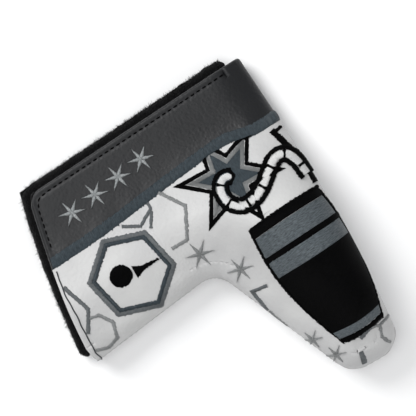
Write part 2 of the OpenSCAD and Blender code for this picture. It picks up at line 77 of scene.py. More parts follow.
look = np.array([21.76, -17.6, 14.0]) * MM
right, up = np.array([-0.491, -0.871, 0]), np.array([0.871, -0.491, 0])
lens_away = 1.1
camera_data = bpy.data.cameras.new("camera")
camera_data.sensor_width = 36
camera_data.lens = 36 * lens_away / 0.1997
camera = bpy.data.objects.new("camera", camera_data)
bpy.context.scene.collection.objects.link(camera)
camera.matrix_world = Matrix((
    (right[0], up[0], 0, look[0]), (right[1], up[1], 0, look[1]),
    (0, 0, 1, look[2] + lens_away), (0, 0, 0, 1)))
bpy.context.scene.camera = camera
bpy.context.scene.view_settings.view_transform = "Standard"


def soft_box(name, place, size, power):
    """A square area light at place, aimed at the middle of the cover."""
    data = bpy.data.lights.new(name, "AREA")
    data.size, data.energy = size, power
    light = bpy.data.objects.new(name, data)
    light.location = place
    light.rotation_euler = (Vector(look) - Vector(place)).to_track_quat("-Z", "Y").to_euler()
    bpy.context.scene.collection.objects.link(light)


soft_box("key_light", (0.66, 0.28, 0.62), 0.45, 6.3)
soft_box("top_light", (0.1, 0.25, 1.2), 0.7, 4)
soft_box("side_light", (-0.7, -0.35, 0.6), 0.7, 2.2)
world = bpy.data.worlds.new("pale_sky")
world.use_nodes = True
world.node_tree.nodes["Background"].inputs["Color"].default_value = linear("#f4f5f7")
world.node_tree.nodes["Background"].inputs["Strength"].default_value = 0.5
bpy.context.scene.world = world

floor_mesh = bpy.data.meshes.new("floor")
floor_mesh.from_pydata([(-2, -2, -0.0006), (2, -2, -0.0006), (2, 2, -0.0006), (-2, 2, -0.0006)],
                       [], [(0, 1, 2, 3)])
floor = bpy.data.objects.new("floor", floor_mesh)
bpy.context.scene.collection.objects.link(floor)
floor_mesh.materials.append(new_material("matt_white_paper", "#f6f6f6", Roughness=0.9)[0])

# ==== Shape of the filled cover ====
# The cover is one cut of sheet folded at the sole and sewn round the toe, over the foot and
# up the inner side of the leg. Its front is worked out here over the plan, in millimetres
# from the heel end of the sole fold: straight lines run from the sole up to the top edge.
CENTRE = np.array([77.864, -65.7449])          # heel end of the sole, in frame mm


def smooth(t):
    """0 below 0, 1 above 1, and 3t^2 - 2t^3 between."""
    t = np.clip(t, 0, 1)
    return t * t * (3 - 2 * t)


def mix(a, b, t):
    """a at t = 0, b at t = 1, straight between."""
    return a + (b - a) * t


def unit(v):
    """v divided by its length."""
    return v / np.maximum(np.linalg.norm(v, axis=-1, keepdims=True), 1e-12)


foot_length, leg_height, leg_width, foot_depth = 159.5, 137.0, 85.0, 27.0
corner_height, foot_thick, leg_thick, sole_bow = 60.0, 42.0, 30.0, 4.3
top_drop, fold_top, top_bow, corner_r, toe_r, lip = 17.0, 44.5, 2.2, 12.0, 13.0, 4.2
fold_w, seam_w, cuff_w, band_w, edge_h = 10.0, 8.0, 31.0, 5.2, 16.75
hl, il = math.tan(math.radians(4.2)), math.tan(math.radians(7.8))
ca = math.cos(math.radians(4.2))
inner_top = np.array([-leg_width - hl * leg_height, leg_height])
front_top = np.array([-hl * (leg_height - top_drop), leg_height - top_drop])
inner_low = np.array([inner_top[0] + il * (leg_height - corner_height), corner_height])
front_inner = inner_top - [0, lip]
top_dir = unit(front_inner - front_top)
toe_top = np.array([-foot_length, foot_depth])
inner_x = inner_top[0] + il * leg_height + seam_w / math.cos(math.radians(7.8))
fine = 24                                       # cells across the foot


def sole_y(x):
    """Bow of the sole: minus the bow height times a half sine along the foot."""
    return -sole_bow * np.sin(np.pi * np.clip((lip - x) / foot_length * 0.88, 0, 1))


def rounded(a, b, c, r, n):
    """Corner at b between a and c as n + 1 points on a circle of radius r."""
    u, v = unit(a - b), unit(c - b)
    half = np.arccos(np.clip(u @ v, -1, 1)) / 2
    m = b + unit(u + v) * r / np.sin(half)
    p, q = b + u * r / np.tan(half) - m, b + v * r / np.tan(half) - m
    a0 = np.arctan2(p[1], p[0])
    turn = (np.arctan2(q[1], q[0]) - a0 + np.pi) % (2 * np.pi) - np.pi
    s = a0 + turn * np.linspace(0, 1, n + 1)
    return m + r * np.stack([np.cos(s), np.sin(s)], -1)


lean_a, lean_b = unit(inner_top - inner_low), unit(toe_top - inner_low)
half_turn = np.arccos(lean_a @ lean_b) / 2
rim_corner = inner_low - unit(lean_a + lean_b) * seam_w / np.sin(half_turn)
fillet = rounded(rim_corner + lean_a * 70, rim_corner, rim_corner + lean_b * 70,
                 corner_r + seam_w, 20)
toe_y = float(sole_y(np.array(-foot_length + toe_r)))
toe_edge = np.concatenate([
    rounded(np.array([-80.0, toe_y]), np.array([-foot_length, toe_y]), toe_top, toe_r, 12),
    rounded(np.array([-foot_length, -1.0]), toe_top, inner_low, toe_r, 12)[1:]])
toe_along = unit(np.gradient(toe_edge, axis=0))
toe_along[0], toe_along[-1] = [-1, 0], unit(inner_low - toe_top)
toe_in = np.stack([toe_along[:, 1], -toe_along[:, 0]], -1)
toe_reach = mix(fold_w, seam_w, smooth(np.arange(25) / 16))
toe_rim = toe_edge + toe_in * toe_reach[:, None]


def lines(s0):
    """Lean of the line that starts at s0: the heel's near it, the inner side's far from it."""
    return hl + (il - hl) * np.clip((s0 + fold_top) / (inner_x + fold_top), 0, 1)


def meet(s0, s1, a, b):
    """Where the line x = s0 - s1 y crosses the line through a and b."""
    g = (b[1] - a[1]) / (b[0] - a[0])
    y = (a[1] + g * (s0 - a[0])) / (1 + g * s1)
    return np.stack([s0 - s1 * y, y], -1)


def line_ends(s0):
    """Lowest and highest plan point of the lines that start at s0."""
    s1 = lines(s0)
    y = fold_w + sole_y(s0)
    high = meet(s0, s1, front_top, front_inner)
    high[..., 1] += top_bow * np.sin(np.pi * np.clip(high[..., 0] / front_inner[0], 0, 1))
    return np.stack([s0 - s1 * y, y], -1), high


leg_low, leg_high = line_ends(np.array(inner_x))
leg_share = (fillet[0, 1] - leg_low[1]) / (leg_high[1] - leg_low[1])
foot_n = 40
over_foot = np.concatenate([fillet[1:], mix(fillet[-1], toe_rim[-1],
                                            np.arange(1, 21)[:, None] / 20 * 0.97)])
under_x = mix(leg_low[0], toe_rim[0, 0], (np.arange(1, foot_n + 1) / foot_n) ** 0.92 * 0.97)
under_foot = np.stack([under_x, fold_w + sole_y(under_x)], -1)
seam_line = np.array([toe_rim[12], toe_rim[24], fillet[20], fillet[12], fillet[8], fillet[0],
                      leg_high + unit(leg_high - leg_low) * lip])


def from_lines(p, chain):
    """Shortest distance from each plan point to a chain of straight pieces."""
    a, d = chain[:-1], np.diff(chain, axis=0)
    r = p[..., None, :] - a
    t = np.clip((r * d).sum(-1) / (d * d).sum(-1), 0, 1)
    return np.linalg.norm(r - t[..., None] * d, axis=-1).min(-1)


def heel_d(p):
    """Distance of a plan point from the heel edge."""
    return (-p[..., 0] - hl * p[..., 1]) * ca


def creases(p):
    """Soft waves of the filled sheet: long sines across each other, and puckers that fade
    away from the sewn edge and from the satin band."""
    x, y = p[..., 0], p[..., 1]
    d, e = heel_d(p), from_lines(p, seam_line)
    wave = 0.22 * np.sin(x / 9.1 + 1.3 * np.sin(y / 17)) * np.sin(y / 12.7 + 0.6)
    near_band = np.exp(-((d - cuff_w - band_w / 2) / 7.5) ** 2)
    tug = 0.16 * near_band * np.sin((y + 0.35 * x) / 2.6 + 1.1 * np.sin(y / 11))
    sewn = 0.26 * np.exp(-e / 6) * np.sin((1.7 * x - 0.6 * y) / 4.3 + 0.8 * np.sin(x / 7.7))
    nook = 1.1 * np.exp(-((x + 84) ** 2 + (y - 57) ** 2) / 260) * np.sin((x + 1.4 * y) / 3.9)
    return (wave + tug + sewn + 0.2 * nook) * smooth((d - 2) / 16)


soft = 1.9                                     # width of the shoulder over the rim's reach


def full_face(p):
    """Height of the front over the floor: the closed height at the opening, rising to the
    thickness of the filled foot or leg, less near the sewn edge, plus the creases."""
    full = mix(foot_thick, leg_thick, smooth((p[..., 1] - 15) / 75)) - edge_h
    near = 0.3 + 0.7 * smooth(from_lines(p, seam_line) / 26)
    return edge_h + full * smooth((heel_d(p) - 14) / 72) * near + creases(p)


def shoulder(x):
    """Quarter of an ellipse from 0 at the outline to 1 at the end of the shoulder."""
    return np.sqrt(np.clip(1 - (1 - np.clip(x, 0, 1)) ** 2, 0, 1))


def to_opening(p):
    """Distances of plan points from the heel edge and from the top edge of the front."""
    g = top_dir[1] / top_dir[0]
    bow = top_bow * np.sin(np.pi * np.clip(p[..., 0] / front_inner[0], 0, 1))
    dy = front_top[1] + g * (p[..., 0] - front_top[0]) + bow - p[..., 1]
    return heel_d(p), dy / math.sqrt(1 + g * g)


def face(p):
    """The front with its rounded shoulder along the rim and the furrow that the topstitch
    pulls in next to the opening."""
    x = (1 + from_lines(p, rim[:-1:2]) / 9) / soft
    d, e = to_opening(p)
    furrow = 0.45 * np.exp(-((np.minimum(d, e) - 3.3) / 1.0) ** 2)
    white = smooth((d - cuff_w) / 3)
    furrow = mix(furrow, 0.2 * np.exp(-((e - 2.4) / 0.9) ** 2), white)
    return full_face(p) * (0.5 + 0.5 * shoulder(x)) - furrow


# rim of the rounded edge: sole, toe, over the foot, up the leg, with its reach outwards
cuff_x, body_x = -cuff_w / ca, -(cuff_w + band_w) / ca
NEAR = np.array([0.0, 0.03, 0.12, 0.3, 0.6, 1.0, 1.5, 2.2, 3.2])    # rows near an edge
sole_s = np.concatenate([-NEAR[:-1], np.linspace(-3.2, cuff_x, 44),
                         np.linspace(cuff_x, body_x, 8)[1:], np.linspace(body_x, inner_x, 60)[1:]])
n_body = 58                                    # sole point at the body edge of the band
ROWS = np.concatenate([np.linspace(0, leg_share, fine + 1),
                       np.linspace(leg_share, 0.973, 60)[1:-1], 1 - NEAR[::-1] / 118])
sole_run = line_ends(sole_s)[0]
leg_run = mix(leg_low, leg_high, ROWS[fine:, None])
leg_run = np.concatenate([leg_run, [leg_high + unit(leg_high - leg_low) * lip]])
rim = np.concatenate([sole_run, under_foot, toe_rim, over_foot[::-1], leg_run])
rim_t = unit(np.gradient(rim, axis=0))
rim_out = np.stack([-rim_t[:, 1], rim_t[:, 0]], -1)
n_sole, n_toe = len(sole_run) + foot_n, len(toe_rim)
rim_out[:n_sole] *= fold_w
rim_out[n_sole:n_sole + n_toe] = -toe_in * toe_reach[:, None]
rim_out[n_sole + n_toe:] *= seam_w
rim_out[-len(leg_run):] = unit(np.array([-1, -il])) * seam_w


def past_rim(p):
    """For each plan point: the nearest rim point, the reach outwards there, and how far past
    the rim it lies as a share of that reach (negative on the flat)."""
    flat = p.reshape(-1, 2)
    base, reach, share = np.empty_like(flat), np.empty_like(flat), np.empty(len(flat))
    a, d = rim[:-1], np.diff(rim, axis=0)
    for i in range(0, len(flat), 4000):
        q = flat[i:i + 4000]
        r = q[:, None] - a
        t = np.clip((r * d).sum(-1) / (d * d).sum(-1), 0, 1)
        k = np.linalg.norm(r - t[..., None] * d, axis=-1).argmin(1)
        t = t[np.arange(len(q)), k][:, None]
        base[i:i + 4000] = a[k] + t * d[k]
        o = mix(rim_out[k], rim_out[k + 1], t)
        reach[i:i + 4000] = o
        share[i:i + 4000] = ((q - base[i:i + 4000]) * o).sum(-1) / (o * o).sum(-1)
    return base.reshape(p.shape), reach.reshape(p.shape), share.reshape(p.shape[:-1])


def bent(base, reach, turn, lift):
    """Point of the rounded edge: half an ellipse from the face, turn 0, over the side,
    turn 90 degrees, to the floor; lift goes outwards along its normal."""
    h = full_face(base)
    size = np.linalg.norm(reach, axis=-1)
    s, c = np.sin(turn), np.cos(turn)
    normal = unit(np.concatenate([reach / size[..., None] * (s / size)[..., None],
                                  (c * 2 / h)[..., None]], -1))
    level = np.where(c > 0, shoulder((1 - s) / soft), c)
    spot = np.concatenate([base + reach * s[..., None], (h / 2 * (1 + level))[..., None]], -1)
    return spot + normal * np.asarray(lift)[..., None]


def onto(p, lift):
    """Plan points laid onto the front and over its rounded edge, raised by lift, in mm."""
    base, reach, share = past_rim(p)
    turn = np.where(share < 0.88, np.arcsin(np.clip(share, 0, 0.88)),
                    1.0759 + (share - 0.88) * 2.1)
    over = bent(base, reach, turn, lift)
    flat = np.concatenate([p, (face(p) + lift)[..., None]], -1)
    return np.where((share > 0)[..., None], over, flat)


def mesh_piece(name, blocks, material, merge=True, uv=True):
    """One mesh from grids of points in mm: each block is (points, uv in mm or None), rows
    and columns joined as quads; equal points of neighbouring blocks are merged."""
    verts, quads, uvs, start = [], [], [], 0
    for points, coords in blocks:
        n, m = points.shape[:2]
        k = start + np.arange(n * m).reshape(n, m)
        quads.append(np.stack([k[:-1, :-1], k[:-1, 1:], k[1:, 1:], k[1:, :-1]], -1).reshape(-1, 4))
        verts.append(points.reshape(-1, 3))
        uvs.append((coords if coords is not None else points[..., :2]).reshape(-1, 2))
        start += n * m
    verts, quads, uvs = np.concatenate(verts), np.concatenate(quads), np.concatenate(uvs)
    place = (verts + [CENTRE[0], CENTRE[1], 0]) * MM
    mesh = bpy.data.meshes.new(name)
    mesh.from_pydata(place.tolist(), [], quads.tolist())
    if uv:
        layer = mesh.uv_layers.new(name="UVMap")
        layer.data.foreach_set("uv", uvs[quads.reshape(-1)].reshape(-1).astype(np.float32))
    piece = bpy.data.objects.new(name, mesh)
    bpy.context.scene.collection.objects.link(piece)
    if merge:
        work = bmesh.new()
        work.from_mesh(mesh)
        bmesh.ops.remove_doubles(work, verts=work.verts, dist=2e-6)
        work.to_mesh(mesh)
        work.free()
    mesh.polygons.foreach_set("use_smooth", [True] * len(mesh.polygons))
    mesh.materials.append(material)
    return piece


def bends(piece):
    """Bakes the piece's placement into its mesh."""
    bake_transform(piece)


def thick(piece, depth):
    """Gives a sheet its thickness inwards."""
    solid = piece.modifiers.new("thickness", "SOLIDIFY")
    solid.thickness, solid.offset = depth * MM, -1
    solid.use_even_offset = False


def sheet_layer(piece, depth, moves, nodes):
    """A padded sheet: its thickness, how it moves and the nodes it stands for."""
    thick(piece, depth)
    if moves:
        bends(piece)
    else:
        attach(piece, "cover")
    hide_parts(*nodes)


# rounding of the front's free corner, and the edge rolled down all along the opening
corner_turn, edge_turn = 5.5, 1.5
top_out = np.array([top_dir[1], -top_dir[0]])
heel_out = np.array([ca, ca * hl])


def roll(gap):
    """Drop of the surface within edge_turn of an edge: a quarter circle."""
    near = np.clip(edge_turn - gap, 0, edge_turn)
    return edge_turn - np.sqrt(edge_turn ** 2 - near ** 2)


bow_start = line_ends(np.array([body_x]))[0][0, 1] + 1.0       # past the rounded edge
bow_most, bow_rise, bow_fall, bow_reach = 4.3, 19, 85, 13


def bowed(p):
    """Plan points by the joint of the two leathers shifted towards the heel edge, most a
    quarter of the way up: the sewn line bows over the filled foot."""
    s, y = p[..., 0] + hl * p[..., 1], p[..., 1]
    shift = bow_most * smooth((y - bow_start) / bow_rise) \
        * (1 - smooth((y - bow_start - bow_rise) / bow_fall)) \
        * np.exp(-((s - body_x - 2.5) / bow_reach) ** 2)
    return np.stack([p[..., 0] + shift, y], -1)


def front_points(p, t):
    """Front moved in by t over plan points. The free corner is rounded by squeezing its
    square onto a quarter disc, and the height drops along the edges of the opening."""
    p = bowed(p)
    d, e = to_opening(p)
    u, v = np.clip(1 - d / corner_turn, 0, 1), np.clip(1 - e / corner_turn, 0, 1)
    u2, v2 = u * np.sqrt(1 - v * v / 2), v * np.sqrt(1 - u * u / 2)
    q = p - heel_out * ((u - u2) * corner_turn)[..., None] \
        - top_out * ((v - v2) * corner_turn)[..., None]
    gap = np.where((u > 0) & (v > 0), (1 - np.hypot(u2, v2)) * corner_turn, np.minimum(d, e))
    return np.concatenate([q, (face(q) - t - roll(gap))[..., None]], -1)


def front_block(first, last, t):
    """Grid of the front between two lines, whose rows lie denser close to the opening."""
    low, high = line_ends(sole_s[first:last + 1])
    return front_points(mix(low[:, None], high[:, None], ROWS[None, :, None]), t)


def turned_under(block, depth, heel=False):
    """The edge of the front carried straight down by depth: along the top, and along the
    heel where the block has it."""
    down = np.array([0, 0, -1.0]) * np.linspace(0, depth, 4)[:, None]
    out = [(block[:, -1, None] + down[None], None)]
    if heel:
        out.append(((block[None, 0] + down[:, None])[::-1], None))
    return out


def side_block(first, last, t, turns=16):
    """Rounded edge between two rim points, moved in by t, from the floor to the face."""
    base, reach = rim[first:last + 1], rim_out[first:last + 1]
    turn = np.broadcast_to(np.linspace(np.pi, 0, turns + 1), (len(base), turns + 1))
    wide = (len(base), turns + 1, 2)
    lift = -t - roll(np.minimum(*to_opening(base)))
    return bent(np.broadcast_to(base[:, None], wide), np.broadcast_to(reach[:, None], wide),
                turn, np.broadcast_to(lift[:, None], turn.shape))


def foot_plan():
    """Plan grid of the foot past the leg: rows from the sole to the foot top, into which
    the toe's curve comes as the cube of the way along."""
    low = np.concatenate([[leg_low], under_foot, [toe_rim[0]]])
    high = np.concatenate([[leg_run[0]], over_foot, [toe_rim[-1]]])
    j = np.linspace(0, 1, fine + 1)
    straight = mix(low[:, None], high[:, None], j[None, :, None])
    curve = toe_rim - mix(toe_rim[0], toe_rim[-1], j[:, None])
    return straight + curve[None] * ((np.arange(foot_n + 2) / (foot_n + 1)) ** 3)[:, None, None]


def back_block(s_from, s_to, n, z):
    """Flat grid of the back, which reaches past the front at the opening by the lip."""
    low, high = line_ends(np.linspace(s_from, s_to, n))
    high = high + unit(high - low) * lip
    length = leg_high - leg_low
    share = leg_share / (1 + lip / np.linalg.norm(length))
    b = np.concatenate([np.linspace(0, share, fine + 1), np.linspace(share, 1, 30)[1:]])
    p = mix(low[:, None], high[:, None], b[None, :, None])
    return np.concatenate([p, np.full((*p.shape[:2], 1), float(z))], -1)[::-1]


def turned_up(block, depth, heel=False):
    """The edge of the back carried straight up by depth, along the top and the heel."""
    rise = np.array([0, 0, 1.0]) * np.linspace(0, depth, 4)[:, None]
    out = [(block[:, -1, None] + rise[None], None)]
    if heel:
        out.append((block[None, -1] + rise[:, None], None))
    return out


def at_height(p, z):
    """Plan points at one height."""
    return np.concatenate([p, np.full((*p.shape[:-1], 1), float(z))], -1)


# ==== White leather of the body ====
# One sheet of pebbled white polyurethane leather, wrapped round the sole and sewn shut round
# the toe and up to the leg top. Its upper edge is rolled under at the opening. The front's
# placement is baked into its mesh; the back lies flat and is attached to the cover.
def add(tree, kind, links=(), **settings):
    """One shader node: inputs and properties by name, and links as (input, output socket)."""
    node = tree.nodes.new("ShaderNode" + kind)
    for key, value in settings.items():
        spare = key.replace("_", " ")
        if spare in node.inputs:
            node.inputs[spare].default_value = value
        else:
            setattr(node, key, value)
    for key, socket in links:
        tree.links.new(socket, node.inputs[key])
    return node


def leather(name, light, dark, grain, rough, depth):
    """Coated leather: rounded pebbles of size grain in metres raised by depth, a finer
    wrinkle between them, and a tint that drifts over a few centimetres."""
    material, tree, shader = new_material(name, light, Roughness=rough, IOR=1.5,
                                          Specular_IOR_Level=0.3)
    place = add(tree, "TexCoord").outputs["Object"]
    pebble = add(tree, "TexVoronoi", [("Vector", place)], feature="SMOOTH_F1", Scale=1 / grain)
    wrinkle = add(tree, "TexNoise", [("Vector", place)], Scale=0.5 / grain, Detail=4.0)
    height = add(tree, "Math", [(0, pebble.outputs["Distance"]), (1, wrinkle.outputs["Fac"])],
                 operation="SUBTRACT")
    bump = add(tree, "Bump", [("Height", height.outputs[0])], Distance=depth, Strength=0.8,
               invert=True)
    tree.links.new(bump.outputs["Normal"], shader.inputs["Normal"])
    drift = add(tree, "TexNoise", [("Vector", place)], Scale=38.0, Detail=3.0)
    tint = add(tree, "ValToRGB", [("Fac", drift.outputs["Fac"])])
    tint.color_ramp.elements[0].position, tint.color_ramp.elements[0].color = 0.3, linear(dark)
    tint.color_ramp.elements[1].position, tint.color_ramp.elements[1].color = 0.7, linear(light)
    tree.links.new(tint.outputs["Color"], shader.inputs["Base Color"])
    return material


white_leather = leather("pebbled_white_leather", "#bebebd", "#b2b2b2", 0.0014, 0.45, 0.0002)
front = front_block(n_body, len(sole_s) - 1, 0.0)
foot_flat = foot_plan()
foot_block = np.concatenate([foot_flat, face(foot_flat)[..., None]], -1)
body_front = mesh_piece("white_front", [(front, None), (foot_block, None),
                                        (side_block(n_body, len(rim) - 2, 0.0), None)]
                        + turned_under(front, 3.4), white_leather)
sheet_layer(body_front, 1.1, True, ("body_leather", "body_leather_corner"))
back = back_block(body_x, inner_x, 30, 0.0)
body_back = mesh_piece("white_back", [(back, None), (at_height(foot_flat, 0.0)[::-1], None)]
                       + turned_up(back, 3.3), white_leather)
sheet_layer(body_back, 1.1, False, ("body_leather",))

# ==== Charcoal cuff ====
# A strip of smoother charcoal leather along the heel edge, wrapped round the sole like the
# body, with its edge rolled over and topstitched.
charcoal_leather = leather("satin_charcoal_leather", "#191a1c", "#141517", 0.0013, 0.42,
                           0.00014)
cuff = front_block(0, n_body, 0.0)
cuff_front = mesh_piece("cuff_front", [(cuff, None), (side_block(0, n_body, 0.0), None)]
                        + turned_under(cuff, 3.4, heel=True), charcoal_leather)
sheet_layer(cuff_front, 1.1, True, ("cuff_leather", "cuff_leather_corner"))
back = back_block(4.2, body_x, 24, 0.0)
cuff_back = mesh_piece("cuff_back", [(back, None)] + turned_up(back, 3.3, heel=True),
                       charcoal_leather)
sheet_layer(cuff_back, 1.1, False, ("cuff_leather",))

# ==== Foam and fleece inside ====
# A thin sheet of foam backs the leather, and the inside is lined with black fleece whose
# pile swells out along the opening.
foam_sheet, foam_tree, foam_shader = new_material("open_cell_foam", "#2c2b2b", Roughness=0.95)
cells = add(foam_tree, "TexVoronoi", [("Vector", add(foam_tree, "TexCoord").outputs["Object"])],
            Scale=1400.0)
pores = add(foam_tree, "Bump", [("Height", cells.outputs["Distance"])], Distance=0.0004)
foam_tree.links.new(pores.outputs["Normal"], foam_shader.inputs["Normal"])
black_fleece, fleece_tree, fleece_shader = new_material(
    "black_fleece", "#0a0a0b", Roughness=1.0, Sheen_Weight=0.06, Sheen_Roughness=0.6,
    Specular_IOR_Level=0.05)
pile = add(fleece_tree, "TexNoise",
           [("Vector", add(fleece_tree, "TexCoord").outputs["Object"])], Scale=900.0, Detail=5.0)
nap = add(fleece_tree, "Bump", [("Height", pile.outputs["Fac"])], Distance=0.0008)
fleece_tree.links.new(nap.outputs["Normal"], fleece_shader.inputs["Normal"])


def inner_layer(name, t, depth, material, nodes, heel=4.2):
    """Front and back sheets of an inner layer, moved in by t and depth thick."""
    sheet = front_block(0, len(sole_s) - 1, t)
    low = np.concatenate([foot_flat, (face(foot_flat) - t)[..., None]], -1)
    top = mesh_piece(name + "_front", [(sheet, None), (low, None),
                                       (side_block(0, len(rim) - 2, t, 12), None)], material)
    flat = mesh_piece(name + "_back", [(back_block(heel, inner_x, 50, t), None),
                                       (at_height(foot_flat, t)[::-1], None)], material)
    sheet_layer(top, depth, True, nodes)
    sheet_layer(flat, depth, False, nodes)


inner_layer("foam", 1.35, 1.7, foam_sheet, ("foam", "foam_corner"), 2.2)
inner_layer("lining", 3.3, 3.1, black_fleece, ("lining", "lining_corner"))


def lumps(u, v, seed):
    """Sum of twelve sines of u and v with seeded directions and phases, from -1 to 1."""
    dice = np.random.default_rng(seed)
    k, ph = dice.normal(0, 1.0, (12, 2)), dice.uniform(0, 2 * np.pi, 12)
    return np.sin(u[..., None] * k[:, 0] + v[..., None] * k[:, 1] + ph).sum(-1) / 6


def way_along(path):
    """Distance of each point of a path from its first one, along the path."""
    return np.concatenate([[0], np.cumsum(np.linalg.norm(np.diff(path, axis=0), axis=-1))])


def at_way(s, way, path):
    """Plan points of a path at the distances s along it."""
    return np.stack([np.interp(s, way, path[:, k]) for k in (0, 1)], -1)


def mouth_line(d, e, n):
    """Plan line round the opening, d outside the heel edge and e above the top edge of the
    front, from the sole to the inner side, with a rounded corner, evenly spaced."""
    b = front_top + heel_out * d + top_out * e
    a = np.array([d / ca - hl * 7.0, 7.0])
    b[0] = d / ca - hl * b[1]
    x = np.linspace(-14, inner_x - hl * leg_height - 12, 40)
    g = top_dir[1] / top_dir[0]
    top = np.stack([x, front_top[1] + g * (x - front_top[0]) + e
                    + top_bow * np.sin(np.pi * np.clip(x / front_inner[0], 0, 1))], -1)
    turn = rounded(a, b, top[3], max(1.5, 2.5 + d), 8)
    chain = np.concatenate([[a], turn, top[3:]])
    way = way_along(chain)
    s = np.linspace(0, way[-1], n)
    return at_way(s, way, chain), s


def fleece_roll(d, e, z, wide, tall, seed, tufts):
    """Swelling pile along the opening: an oval carried along the mouth, pushed in and out by
    lumps, and tufts with three bends each standing out of it."""
    line, s = mouth_line(d, e, 520)
    t = unit(np.gradient(line, axis=0))
    out = np.stack([t[:, 1], -t[:, 0]], -1)
    a = np.linspace(0, 2 * np.pi, 25)
    size = 1 + 0.1 * lumps(s[:, None] / 0.9, a[None] * 1.6 * np.ones((520, 1)), seed) \
        + 0.12 * lumps(s[:, None] / 3.1, a[None] * np.ones((520, 1)), seed + 40)
    taper = np.sqrt(np.clip(np.minimum(s, s[-1] - s) / 3, 0.02, 1))
    size[:, -1] = size[:, 0]
    size = size * taper[:, None]
    plan = line[:, None] + out[:, None] * (np.cos(a) * wide * size)[..., None]
    height = z(line)[:, None] + np.sin(a) * tall * size
    tube = np.concatenate([plan, height[..., None]], -1)[::-1]
    dice = np.random.default_rng(seed + 1)
    i = dice.integers(4, 516, tufts)
    b = dice.uniform(-0.9, 2.2, tufts)
    root = np.concatenate([line[i] + out[i] * (np.cos(b) * wide * 0.85 * taper[i])[:, None]
                           + t[i] * dice.uniform(-0.2, 0.2, tufts)[:, None],
                           (z(line[i]) + np.sin(b) * tall * 0.85 * taper[i])[:, None]], -1)
    way = unit(np.concatenate([out[i] * np.cos(b)[:, None], np.sin(b)[:, None]], -1)
               + dice.normal(0, 0.45, (tufts, 3)))
    side = unit(np.cross(way, dice.normal(0, 1, (tufts, 3))))
    long = dice.uniform(0.6, 1.2, tufts)[:, None] * (1 + 1.3 * dice.random(tufts)[:, None] ** 3)
    curl = np.cross(way, side) * dice.uniform(-0.5, 0.5, tufts)[:, None]
    steps = np.linspace(0, 1, 4)
    blade = np.stack([root + way * long * f + curl * long * f * f for f in steps], 1)
    broad = np.array([0.11, 0.1, 0.07, 0.02])[None, :, None]
    both = np.stack([blade - side[:, None] * broad, blade + side[:, None] * broad], 2)
    return tube, both.reshape(tufts, 8, 3)


def fleece_piece(name, tube, both, blended):
    """Mesh of a fleece roll with its tufts: eight points and three quads a tuft."""
    n, m = tube.shape[:2]
    k = np.arange(n * m).reshape(n, m)
    quads = np.stack([k[:-1, :-1], k[:-1, 1:], k[1:, 1:], k[1:, :-1]], -1).reshape(-1, 4)
    first = n * m + 8 * np.arange(len(both))[:, None, None]
    blades = (first + np.array([[0, 1, 3, 2], [2, 3, 5, 4], [4, 5, 7, 6]])[None]).reshape(-1, 4)
    verts = np.concatenate([tube.reshape(-1, 3), both.reshape(-1, 3)]) \
        + [CENTRE[0], CENTRE[1], 0]
    mesh = bpy.data.meshes.new(name)
    mesh.from_pydata((verts * MM).tolist(), [], np.concatenate([quads, blades]).tolist())
    mesh.polygons.foreach_set("use_smooth", [True] * len(mesh.polygons))
    mesh.materials.append(black_fleece)
    piece = bpy.data.objects.new(name, mesh)
    bpy.context.scene.collection.objects.link(piece)
    if blended:
        bends(piece)
    else:
        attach(piece, "cover")


rolled = fleece_roll(1.3, 1.3, lambda p: 5.4 + 0 * p[..., 0], 3.1, 3.5, 5, 9000)
fleece_piece("back_fleece", *rolled, False)
rolled = fleece_roll(-1.6, -1.6, lambda p: face(p) - 4.9, 1.9, 1.6, 9, 4000)
fleece_piece("front_fleece", *rolled, True)

# ==== Hook-and-loop closure ====
# A strip of moulded hooks is sewn under the free corner and a strip of brushed loops on the
# lining below it; the two face each other with a hair's gap.
def tape(name, node, colour, body, lift):
    """A strip with rounded edges between the heights of the node's own box; the side that
    meets the other strip is up for lift 1 and down for -1, and its pile is a fine bump."""
    material, tree, shader = new_material(name + "_nylon", colour, Roughness=0.6,
                                          Sheen_Weight=0.3)
    weave = add(tree, "TexVoronoi", [("Vector", add(tree, "TexCoord").outputs["Object"])],
                Scale=1500.0)
    bump = add(tree, "Bump", [("Height", weave.outputs["Distance"])], Distance=0.0003)
    tree.links.new(bump.outputs["Normal"], shader.inputs["Normal"])
    low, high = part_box(node)
    z0, z1 = low[2] / MM, high[2] / MM
    y = np.linspace(50, 113, 64)
    across = np.array([2.0, 2.0, 2.4, 6, 10, 14, 17.6, 18.0, 18.0])
    tall = np.array([0.15, 0.75, 1, 1, 1, 1, 1, 0.75, 0.15])
    ring = np.concatenate([across, across[::-1]])
    d = np.broadcast_to(ring, (64, 18))
    yy = np.broadcast_to(y[:, None], d.shape)
    t = np.concatenate([tall, np.zeros(9)])
    z = mix(z0, z1, t) if lift > 0 else mix(z1, z0, t)
    points = np.stack([-d / ca - hl * yy, yy, np.broadcast_to(z, d.shape)], -1)
    points = np.concatenate([points, points[:, :1]], 1)
    points = points[:, ::-1] if lift > 0 else points
    caps = [np.stack([points[k, :9], points[k, 17:8:-1]], 0) for k in (0, -1)]
    piece = mesh_piece(name, [(points, None), (caps[0], None), (caps[1][::-1], None)], material)
    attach(piece, body)
    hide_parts(node)


tape("hook_tape", "hook_strip", "#2b2c30", "front_corner", -1)
tape("loop_tape", "loop_strip", "#36373b", "cover", 1)


